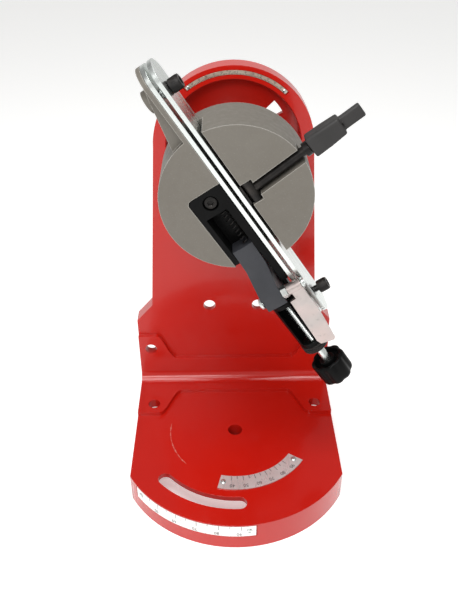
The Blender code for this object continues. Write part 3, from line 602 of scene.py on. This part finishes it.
def cap_screw(node):
    """Socket cap screw: knurled head, hexagon socket and a plain shank."""
    low, high = local_box(node)
    middle = (low + high) / 2
    head, radius, shank = 8 * MM, 5.1 * MM, 2.5 * MM
    seat = high.z - head - low.z
    knurl = waves(radius, 36, 0.24 * MM)
    socket = hexagon(5 * MM)
    rows = [(0, 0), (0, shank - 0.4 * MM), (0.4 * MM, shank), (seat, shank),
            (seat, radius - 0.45 * MM)]
    rows += rim(-60, 0, seat + 0.4 * MM, radius - 0.4 * MM, 0.3 * MM, 2)
    rows += [(seat + 0.9 * MM, knurl), (seat + 6.7 * MM, knurl),
             (seat + 7.0 * MM, radius - 0.25 * MM)]
    rows += rim(10, 90, seat + head - 0.6 * MM, radius - 0.75 * MM, 0.6 * MM, 4)
    rows += [(seat + head, lambda turn: socket(turn) + 0.35 * MM),
             (seat + head - 0.3 * MM, socket), (seat + 3.6 * MM, socket), (seat + 3.0 * MM, 0)]
    piece(node + "_shape", stack(rows, 144), node,
          along_axis((middle.x, middle.y, low.z), (0, 0, 1)))


# Clamp lever

def rounded_box(half_x, half_y, power=7):
    """Radius at each angle of a box whose corners are rounder for a lower power."""
    def radius(turn):
        x, y = abs(math.cos(turn)) / half_x, abs(math.sin(turn)) / half_y
        return (x ** power + y ** power) ** (-1 / power)
    return radius


def clamp_lever():
    rounded("clamp_lever", 0.35 * MM)
    joint = VISE.inverted() @ Vector(JOINTS["clamp_lever_swing"]["pos_m"])
    lean = math.radians(-5)
    line = VISE @ Matrix.Translation(joint) @ Matrix.Rotation(lean, 4, "Y")
    low, high = local_box("lever_grip", line)
    wide, deep = high.x, high.y
    block, taper = 25, 1.3
    shoulder = low.z + block * MM
    bore, bore_depth = 3.8 * MM, 3 * MM
    rows = [(low.z + bore_depth, 0), (low.z + bore_depth, bore), (low.z, bore)]
    for rise, inset in ((0, 1.3), (0.15, 0.7), (0.6, 0.25), (1.6, 0.1),
                        (7, 0), (12.5, -0.12), (18, 0), (block - 1.6, 0.1),
                        (block - 0.6, 0.25), (block - 0.15, 0.7), (block, 1.3)):
        narrowing = inset + taper * rise / block
        rows.append((low.z + rise * MM, rounded_box(wide - narrowing * MM, deep - inset * MM)))
    tab_x, tab_y = 4.7 * MM, 2.6 * MM
    rows += [(shoulder, rounded_box(tab_x + 0.5 * MM, tab_y + 0.5 * MM)),
             (shoulder + 0.4 * MM, rounded_box(tab_x + 0.1 * MM, tab_y + 0.1 * MM)),
             (shoulder + 1.2 * MM, rounded_box(tab_x, tab_y)),
             (high.z - 0.9 * MM, rounded_box(tab_x, tab_y)),
             (high.z - 0.3 * MM, rounded_box(tab_x - 0.25 * MM, tab_y - 0.25 * MM)),
             (high.z, rounded_box(tab_x - 0.8 * MM, tab_y - 0.8 * MM)), (high.z, 0)]
    piece("lever_grip_shape", stack(rows, 128), "lever_grip", line, sharp=60)


# Chain stop

def stop_axis(node):
    """A node's ends along the rails, and where its middle line lies across them."""
    low, high = local_box(node)
    middle = (low + high) / 2
    return low.x, high.x, middle.y, middle.z


def return_spring():
    """Compression spring, drawn along the slider's travel."""
    low, high = local_box("return_spring")
    middle = (low + high) / 2
    wire, turns, steps = 0.42 * MM, 9, 28
    reach = (high.y - low.y) / 2 - wire
    curve = bpy.data.curves.new("return_spring_shape", "CURVE")
    curve.dimensions = "3D"
    curve.bevel_depth = wire
    curve.bevel_resolution = 3
    curve.use_fill_caps = True
    spline = curve.splines.new("POLY")
    count = turns * steps
    spline.points.add(count)
    for i, point in enumerate(spline.points):
        turn = TURN * i / steps
        along = low.x + wire + (high.x - low.x - 2 * wire) * i / count
        point.co = (along, middle.y + reach * math.cos(turn), middle.z + reach * math.sin(turn), 1)
    mesh = evaluated_mesh("spring_line", curve)
    mesh.transform(VISE)
    bm = bmesh.new()
    bm.from_mesh(mesh)
    bmesh.ops.remove_doubles(bm, verts=bm.verts, dist=0.001 * MM)
    spring = piece("return_spring_shape", bm, "return_spring")
    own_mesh(spring)


def cross_pin():
    """Pin with a domed head; the hex nut and the push-on ring sit on it."""
    low, high = local_box("cross_pin")
    middle = (low + high) / 2
    head, radius = 4.6 * MM, 2.5 * MM
    length = high.z - low.z
    rows = [(0, 0), (0.05 * MM, 1.4 * MM), (0.3 * MM, 2.9 * MM), (0.8 * MM, 4.0 * MM),
            (1.3 * MM, head - 0.1 * MM), (1.8 * MM, head), (2.9 * MM, head),
            (3.1 * MM, head - 0.2 * MM), (3.1 * MM, radius), (length - 0.6 * MM, radius),
            (length, radius - 0.5 * MM), (length, 0)]
    piece("cross_pin_shape", stack(rows, 48), "cross_pin",
          along_axis((middle.x, middle.y, low.z), (0, 0, 1)))
    rounded("cross_pin_nut", 0.35 * MM, segments=3)
    rounded("pawl_ring", 0.2 * MM)


def thread(radius, depth, pitch, start, end):
    """Rows of a screw thread, which fades out at both ends."""
    rows_per_turn = 8
    count = round((end - start) / pitch * rows_per_turn)
    rows = []
    for i in range(count + 1):
        height = start + (end - start) * i / count
        fade = min(1.0, (end - height) / pitch, (height - start) / pitch)
        rows.append((height, helix_radius(radius, depth * max(fade, 0.0), pitch, height)))
    return rows


def helix_radius(radius, depth, pitch, height):
    """Radius at each angle of a thread's V groove, at one height."""
    def at(turn):
        phase = (turn / TURN - height / pitch) % 1.0
        return radius - depth * (1 - abs(2 * phase - 1))
    return at


def adjusting_screw():
    """Threaded as far as the collar, then a plain rod into the knob."""
    low, high, y, z = stop_axis("adjusting_screw")
    length = high - low
    thread_start, thread_end = 0.8 * MM, 85.5 * MM
    radius, depth, pitch = 3.1 * MM, 0.62 * MM, 1.25 * MM
    rows = [(0, 0), (0, 2.4 * MM)] + thread(radius, depth, pitch, thread_start, thread_end)
    rows += [(thread_end + 0.1 * MM, 3.3 * MM), (thread_end + 0.3 * MM, 3.4 * MM),
             (length - 0.3 * MM, 3.4 * MM), (length, 3.1 * MM), (length, 0)]
    piece("adjusting_screw_shape", stack(rows, 32), "adjusting_screw",
          along_axis((low, y, z), (1, 0, 0)))


def screw_collar():
    """Round nut with a knurled band on both sides of a groove."""
    low, high, y, z = stop_axis("screw_collar")
    length, radius, groove, bore = high - low, 10.9 * MM, 10.2 * MM, 3.95 * MM
    knurl = waves(radius, 56, 0.28 * MM)
    rows = [(0, bore), (0, radius - 0.4 * MM), (0.25 * MM, knurl), (1.5 * MM, knurl),
            (1.8 * MM, groove), (2.4 * MM, groove), (2.7 * MM, knurl), (length - 0.7 * MM, knurl),
            (length - 0.35 * MM, radius - 0.5 * MM), (length, radius - 1.1 * MM),
            (length, bore + 0.4 * MM), (length - 0.3 * MM, bore)]
    piece("screw_collar_shape", stack(rows, 224, ring=True), "screw_collar",
          along_axis((low, y, z), (1, 0, 0)))


def stop_knob():
    """Lobed knob, recessed round its hub on the side of the tube, with a shallow dish outside."""
    low, high, y, z = stop_axis("stop_knob")
    length, outer, lobes, wave = high - low, 14.5 * MM, 8, 1.1 * MM
    bore, bore_end = 3.7 * MM, 15 * MM

    def lobed(inset):
        return waves(outer - inset, lobes, wave, 1.6)

    rows = [(bore_end, 0), (bore_end, bore), (0.9 * MM, bore), (0.6 * MM, 4.0 * MM)]
    rows += [(0.6 * MM, 6.0 * MM), (0.9 * MM, 6.5 * MM), (5 * MM, 6.8 * MM), (5 * MM, 10.8 * MM),
             (0.7 * MM, 11.2 * MM), (0.2 * MM, 11.6 * MM), (0, lobed(2.2 * MM)),
             (0.25 * MM, lobed(1.1 * MM)), (0.9 * MM, lobed(0.35 * MM)), (2.2 * MM, lobed(0))]
    rows += [(length - 4 * MM, lobed(0.1 * MM)), (length - 2.2 * MM, lobed(0.6 * MM)),
             (length - 0.9 * MM, lobed(1.7 * MM)), (length - 0.2 * MM, lobed(3.4 * MM)),
             (length, 9.5 * MM), (length - 0.2 * MM, 8.5 * MM), (length - 0.8 * MM, 7.8 * MM),
             (length - 1.0 * MM, 6 * MM), (length - 1.0 * MM, 0)]
    piece("stop_knob_shape", stack(rows, 192), "stop_knob",
          along_axis((low, y, z), (1, 0, 0)), sharp=50)


def chain_stop():
    rounded("stop_housing", 0.35 * MM)
    rounded("stop_slider", 0.9 * MM, segments=3, angle=20)
    rounded("pawl", 0.3 * MM)
    rounded("screw_tube", 0.35 * MM)
    return_spring()
    cross_pin()
    housing_screw()
    adjusting_screw()
    screw_collar()
    stop_knob()


def housing_screw():
    low, high = local_box("housing_screw")
    middle = (low + high) / 2
    length = high.y - low.y
    socket = hexagon(4 * MM)
    rows = [(0, 0), (0, 2.1 * MM), (0.4 * MM, 2.5 * MM), (length - 3.2 * MM, 2.5 * MM)]
    rows += [(length - 3.2 * MM, 4.6 * MM), (length - 1.0 * MM, 4.7 * MM)]
    rows += rim(0, 90, length - 0.7 * MM, 4.0 * MM, 0.7 * MM, 4)
    rows += [(length, lambda turn: socket(turn) + 0.3 * MM), (length - 0.3 * MM, socket),
             (length - 1.8 * MM, socket), (length - 2.2 * MM, 0)]
    piece("housing_screw_shape", stack(rows, 96), "housing_screw",
          along_axis((middle.x, high.y, middle.z), (0, -1, 0)))


# Swivel lock

def from_front(node):
    """A frame at a node's front, with +Z backward along the swivel's axis, and its length."""
    low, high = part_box(node)
    middle = (low + high) / 2
    place = Matrix.Translation((middle.x, low.y, middle.z)) @ Matrix.Rotation(-TURN / 4, 4, "X")
    return place, high.y - low.y


def back_pin(node, radius, plain=None):
    """A pin parallel to the swivel's axis, threaded behind its plain length if one is given."""
    place, length = from_front(node)
    rows = [(0, 0), (0, radius - 0.5 * MM), (0.5 * MM, radius)]
    if plain:
        depth, pitch = 0.7 * MM, 1.5 * MM
        rows += [(plain, radius)]
        rows += thread(radius, depth, pitch, plain + 0.1 * MM, length - MM)
    rows += [(length - 0.6 * MM, radius - 0.4 * MM), (length, radius - 0.9 * MM), (length, 0)]
    piece(node + "_shape", stack(rows, 40), node, place)


def swivel_lock():
    """What holds the vise behind the cup: stud, stop pin, washer, bush and lobed knob."""
    back_pin("pivot_stud", 5 * MM, plain=15 * MM)
    back_pin("swivel_stop_pin", 4.6 * MM)
    rounded("clamp_washer", 0.3 * MM)
    rounded("swivel_bush", 0.1 * MM)
    place, length = from_front("swivel_lock_knob")
    outer, lobes, wave, bore = 22.4 * MM, 6, 4.8 * MM, 5.5 * MM

    def lobed(inset):
        return waves(outer - inset, lobes, wave, 1.3)

    rows = [(0, bore), (0, 10 * MM), (0.6 * MM, 10.5 * MM), (1.4 * MM, 12 * MM),
            (1.8 * MM, lobed(2.5 * MM)), (2.4 * MM, lobed(1.0 * MM)),
            (3.6 * MM, lobed(0.2 * MM)), (6 * MM, lobed(0)),
            (length - 4.5 * MM, lobed(0.2 * MM)), (length - 2.4 * MM, lobed(1.2 * MM)),
            (length - 1.0 * MM, lobed(3.0 * MM)), (length - 0.4 * MM, lobed(5.0 * MM)),
            (length - 0.3 * MM, 11 * MM), (length, 10 * MM), (length, bore + 0.5 * MM),
            (length - 0.4 * MM, bore)]
    piece("swivel_lock_knob_shape", stack(rows, 192, ring=True), "swivel_lock_knob", place,
          sharp=50)


def build():
    """Every piece of the object."""
    rounded("frame", frame_edge_width, segments=3)
    scale_plates()
    rivets()
    rounded("vise_body", vise_edge_width)
    rails()
    clamp_lever()
    chain_stop()
    swivel_lock()


build()


# Studio

def area_light(name, location, target, size, power):
    data = bpy.data.lights.new(name, "AREA")
    data.shape = "RECTANGLE"
    data.size, data.size_y = size
    data.energy = power
    light = bpy.data.objects.new(name, data)
    light.location = location
    aim = Vector(target) - Vector(location)
    light.rotation_euler = aim.to_track_quat("-Z", "Y").to_euler()
    bpy.context.scene.collection.objects.link(light)


def studio():
    """A plain pale floor in a soft room that is dimmer overhead, with two soft lights."""
    bm = bmesh.new()
    bmesh.ops.create_grid(bm, x_segments=1, y_segments=1, size=4.0)
    mesh = bpy.data.meshes.new("floor")
    bm.to_mesh(mesh)
    bm.free()
    floor = bpy.data.objects.new("floor", mesh)
    bpy.context.scene.collection.objects.link(floor)
    pale = bpy.data.materials.new("floor")
    pale.use_nodes = True
    shader = pale.node_tree.nodes["Principled BSDF"]
    shader.inputs["Base Color"].default_value = (0.86, 0.86, 0.855, 1)
    shader.inputs["Roughness"].default_value = 0.6
    shader.inputs["Emission Color"].default_value = (1, 1, 0.99, 1)
    shader.inputs["Emission Strength"].default_value = 0.42
    mesh.materials.append(pale)

    world = bpy.data.worlds.new("studio")
    world.use_nodes = True
    tree = world.node_tree
    background = tree.nodes["Background"]
    background.inputs["Color"].default_value = (1.0, 0.995, 0.985, 1)
    split = tree.nodes.new("ShaderNodeSeparateXYZ")
    tree.links.new(tree.nodes.new("ShaderNodeTexCoord").outputs["Generated"], split.inputs[0])
    fade = tree.nodes.new("ShaderNodeMapRange")
    bright, dim = 0.75, 0.3
    set_range(fade, 0.3, 0.62, bright, dim)
    tree.links.new(split.outputs["Z"], fade.inputs["Value"])
    tree.links.new(fade.outputs["Result"], background.inputs["Strength"])
    bpy.context.scene.world = world

    area_light("top", (-0.05, -0.3, 1.15), (0, 0, 0.15), (0.7, 0.6), 10)
    area_light("front", (-0.3, -1.2, 1.1), (0, 0, 0.28), (0.6, 0.4), 9)
    scene = bpy.context.scene
    scene.view_settings.view_transform = "Standard"
    scene.view_settings.look = "None"


def camera():
    """From above and in front, as the object was seen."""
    data = bpy.data.cameras.new("camera")
    data.sensor_fit = "VERTICAL"
    data.sensor_height = 36
    data.lens = 40.74
    data.clip_start = 0.01
    eye = bpy.data.objects.new("camera", data)
    eye.location = (-0.0106, -0.4937, 0.4897)
    eye.rotation_euler = (math.radians(54.74), math.radians(0.19), math.radians(-0.82))
    bpy.context.scene.collection.objects.link(eye)
    bpy.context.scene.camera = eye


studio()
camera()
